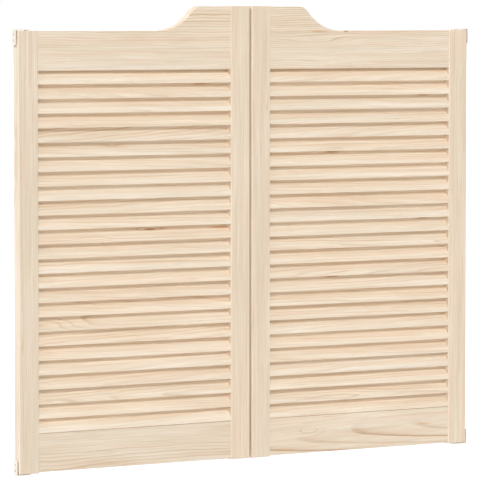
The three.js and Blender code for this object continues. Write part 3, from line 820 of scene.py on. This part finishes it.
class CAFE_OT_pivots(bpy.types.Operator):
    """Make the pins, bushes and thrust washers"""

    bl_idname = "cafe_doors.pivots"
    bl_label = "Pivots"

    def execute(self, context):
        metal, size = context.scene.cafe_metal, context.scene.cafe_pivot
        zinc = material("bright zinc plate", zinc_plate, metal.zinc)
        nylon = material("natural nylon", natural_nylon, metal.nylon)
        for hand in HANDS:
            self.pins(hand, size, zinc)
            self.bushes(hand, size, nylon)
        return {"FINISHED"}

    def pins(self, hand, size, zinc):
        """Lower pin: riveted foot, shank, collar, shank and chamfered tip. Upper pin: chamfered
        tip, shank and countersunk head. A small ring in the middle of each end carries its last
        face."""
        core = 0.2 * size.shank
        low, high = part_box(f"{hand}_bottom_pin")
        collar = (high[0] - low[0]) / 2
        seat = low[2] + size.plate + size.fit
        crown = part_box(f"{hand}_thrust_washer")[0][2] - size.fit
        turned_piece(f"{hand}_bottom_pivot", [
            (core, low[2]), (size.head, low[2]), (size.shank, low[2] + size.sink), (size.shank, seat),
            (collar - size.soft, seat), (collar, seat + size.soft), (collar, crown - size.soft),
            (collar - size.soft, crown), (size.shank, crown), (size.shank, high[2] - size.chamfer),
            (size.shank - size.chamfer, high[2]), (core, high[2])],
            pin_axis(hand), zinc, JAMB, f"{hand}_bottom_pin")
        low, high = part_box(f"{hand}_top_pin")
        turned_piece(f"{hand}_top_pivot", [
            (core, low[2]), (size.shank - size.chamfer, low[2]), (size.shank, low[2] + size.chamfer),
            (size.shank, high[2] - size.sink), (size.head, high[2]), (core, high[2])],
            pin_axis(hand), zinc, JAMB, f"{hand}_top_pin")

    def bushes(self, hand, size, nylon):
        """Flat thrust ring, and two flanged sleeves that point into the stile."""
        low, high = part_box(f"{hand}_thrust_washer")
        hole, brim = size.shank + size.fit, (high[0] - low[0]) / 2
        turned_piece(f"{hand}_thrust_ring", [
            (hole, low[2]), (brim - size.soft, low[2]), (brim, low[2] + size.soft),
            (brim, high[2] - size.soft), (brim - size.soft, high[2]), (hole, high[2]), (hole, low[2])],
            pin_axis(hand), nylon, JAMB, f"{hand}_thrust_washer")
        sleeve = hole + size.wall
        for place, up in (("bottom", 1), ("top", -1)):
            low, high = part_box(f"{hand}_{place}_bush")
            start, end = (low[2], high[2])[::up]
            shoulder = start + up * size.flange
            turned_piece(f"{hand}_{place}_sleeve", [
                (hole, start), (brim - size.soft, start), (brim, start + up * size.soft), (brim, shoulder),
                (sleeve, shoulder), (sleeve, end), (hole, end), (hole, start)],
                pin_axis(hand), nylon, leaf_body(hand), f"{hand}_{place}_bush")


class CAFE_OT_springs(bpy.types.Operator):
    """Wind the return springs round the lower pins"""

    bl_idname = "cafe_doors.springs"
    bl_label = "Springs"

    def execute(self, context):
        wire = material("drawn spring wire", spring_wire, context.scene.cafe_metal.wire)
        for hand in HANDS:
            self.spring(hand, context.scene.cafe_pivot, wire)
        return {"FINISHED"}

    def spring(self, hand, size, wire):
        """Circle of the wire's radius carried up a helix, square to the path."""
        low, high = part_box(f"{hand}_return_spring")
        mean = size.shank + size.fit + size.wall / 2
        travel = high[2] - low[2] - 2 * size.wire
        share = np.linspace(0, 1, size.turns * COIL_STEPS + 1)[:, None]
        turn = 2 * math.pi * size.turns * share
        climb = np.full_like(turn, travel / (2 * math.pi * size.turns))
        out = np.hstack([np.cos(turn), np.sin(turn), 0 * turn])
        ahead = unit(np.hstack([-mean * np.sin(turn), mean * np.cos(turn), climb]))
        up = np.cross(out, ahead)
        path = np.array([*pin_axis(hand), low[2] + size.wire]) + mean * out + (0, 0, travel) * share
        around = np.linspace(0, 2 * math.pi, WIRE_STEPS, endpoint=False)[:, None]
        rings = path[:, None] + size.wire * (np.cos(around) * out[:, None] + np.sin(around) * up[:, None])
        put_piece(f"{hand}_spring_coil", [rings], COIL_CREASE, wire, leaf_body(hand),
                  f"{hand}_return_spring")


def seen(tree):
    """One for the rays that show the background: to the camera, in gloss and through glass."""
    path = add_node(tree, "ShaderNodeLightPath")
    gloss = add_node(tree, "ShaderNodeMath", {"operation": "MAXIMUM"},
                     {0: path.outputs["Is Camera Ray"], 1: path.outputs["Is Glossy Ray"]})
    return add_node(tree, "ShaderNodeMath", {"operation": "MAXIMUM"},
                    {0: gloss, 1: path.outputs["Is Transmission Ray"]})


class CAFE_OT_stage(bpy.types.Operator):
    """Set the camera, lamps, floor and surroundings"""

    bl_idname = "cafe_doors.stage"
    bl_label = "Stage"

    def execute(self, context):
        stage = context.scene.cafe_stage
        context.scene.view_settings.view_transform = "Standard"
        self.camera(context, stage)
        self.lamp(context, "key", stage.key_turn, stage.key_height, stage.key_spread, stage.key)
        side = self.lamp(context, "side", stage.side_turn, stage.side_height, stage.side_spread, stage.side)
        side.color = stage.daylight
        self.floor(context, stage)
        self.sky(context, stage)
        return {"FINISHED"}

    def camera(self, context, stage):
        """Camera at its distance from the aim, against the direction that it looks in."""
        lens = bpy.data.cameras.new("camera")
        lens.sensor_width = stage.sensor
        lens.lens = stage.lens
        lens.clip_end = CLIP_END
        view = bpy.data.objects.new("camera", lens)
        ahead = Vector((
            -math.sin(stage.azimuth) * math.cos(stage.pitch),
            math.cos(stage.azimuth) * math.cos(stage.pitch),
            -math.sin(stage.pitch)))
        view.location = Vector(stage.aim) - ahead * stage.distance
        view.rotation_euler = ahead.to_track_quat("-Z", "Y").to_euler()
        context.scene.collection.objects.link(view)
        context.scene.camera = view

    def lamp(self, context, name, turn, height, spread, strength):
        """Broad distant lamp; only its direction counts, and its stand keeps it off the doors."""
        lamp = bpy.data.lights.new(name, "SUN")
        lamp.energy = strength
        lamp.angle = spread
        stand = bpy.data.objects.new(name, lamp)
        away = Vector((
            math.sin(turn) * math.cos(height), -math.cos(turn) * math.cos(height), math.sin(height)))
        stand.location = away * STAND_OFF
        stand.rotation_euler = away.to_track_quat("Z", "Y").to_euler()
        context.scene.collection.objects.link(stand)
        return lamp

    def floor(self, context, stage):
        """Level square, white enough to pass into the background."""
        square = rectangle(-FLOOR_REACH, FLOOR_REACH, -FLOOR_REACH, FLOOR_REACH)
        corners = [(x, y, -stage.drop) for x, y in square]
        mesh = bpy.data.meshes.new("floor")
        mesh.from_pydata(corners, [], [(0, 1, 2, 3)])
        floor = bpy.data.objects.new("floor", mesh)
        context.scene.collection.objects.link(floor)
        paper, tree, shader = new_material("white studio paper")
        glow = add_node(tree, "ShaderNodeMath", {"operation": "MULTIPLY"}, {0: seen(tree), 1: stage.glow})
        feed(tree, shader, {
            "Base Color": (stage.paper, stage.paper, stage.paper, 1), "Roughness": 0.9,
            "Specular IOR Level": 0.0, "Emission Color": WHITE, "Emission Strength": glow})
        mesh.materials.append(paper)

    def sky(self, context, stage):
        """Even pale light, seen as white by the camera and in gloss."""
        world = bpy.data.worlds.new("studio")
        world.use_nodes = True
        context.scene.world = world
        tree = world.node_tree
        level = add_node(tree, "ShaderNodeMapRange", inputs={0: seen(tree), 3: stage.sky, 4: 1.0})
        feed(tree, tree.nodes["Background"], {"Color": WHITE, "Strength": level})


OPERATORS = (
    CAFE_OT_stiles, CAFE_OT_top_rails, CAFE_OT_bottom_rails, CAFE_OT_slats,
    CAFE_OT_brackets, CAFE_OT_pivots, CAFE_OT_springs, CAFE_OT_stage)

SETTINGS = {
    "cafe_joinery": JoinerySettings,
    "cafe_pivot": PivotSettings,
    "cafe_pine": PineSettings,
    "cafe_metal": MetalSettings,
    "cafe_stage": StageSettings,
}


class CAFE_PT_doors(bpy.types.Panel):
    """Pieces of the cafe doors"""

    bl_idname = "CAFE_PT_doors"
    bl_label = "Cafe Doors"
    bl_space_type = "VIEW_3D"
    bl_region_type = "UI"
    bl_category = "Cafe Doors"

    def draw(self, context):
        for operator in OPERATORS:
            self.layout.operator(operator.bl_idname)
        for name in SETTINGS:
            group = getattr(context.scene, name)
            box = self.layout.box()
            for key in group.bl_rna.properties.keys():
                if key not in ("name", "rna_type"):
                    box.prop(group, key)


CLASSES = (*SETTINGS.values(), *OPERATORS, CAFE_PT_doors)


def register():
    for group in CLASSES:
        bpy.utils.register_class(group)
    for name, group in SETTINGS.items():
        setattr(bpy.types.Scene, name, PointerProperty(type=group))


def unregister():
    for name in SETTINGS:
        delattr(bpy.types.Scene, name)
    for group in reversed(CLASSES):
        bpy.utils.unregister_class(group)


def main():
    register()
    for operator in OPERATORS:
        group, name = operator.bl_idname.split(".")
        getattr(getattr(bpy.ops, group), name)()


if __name__ == "__main__":
    main()
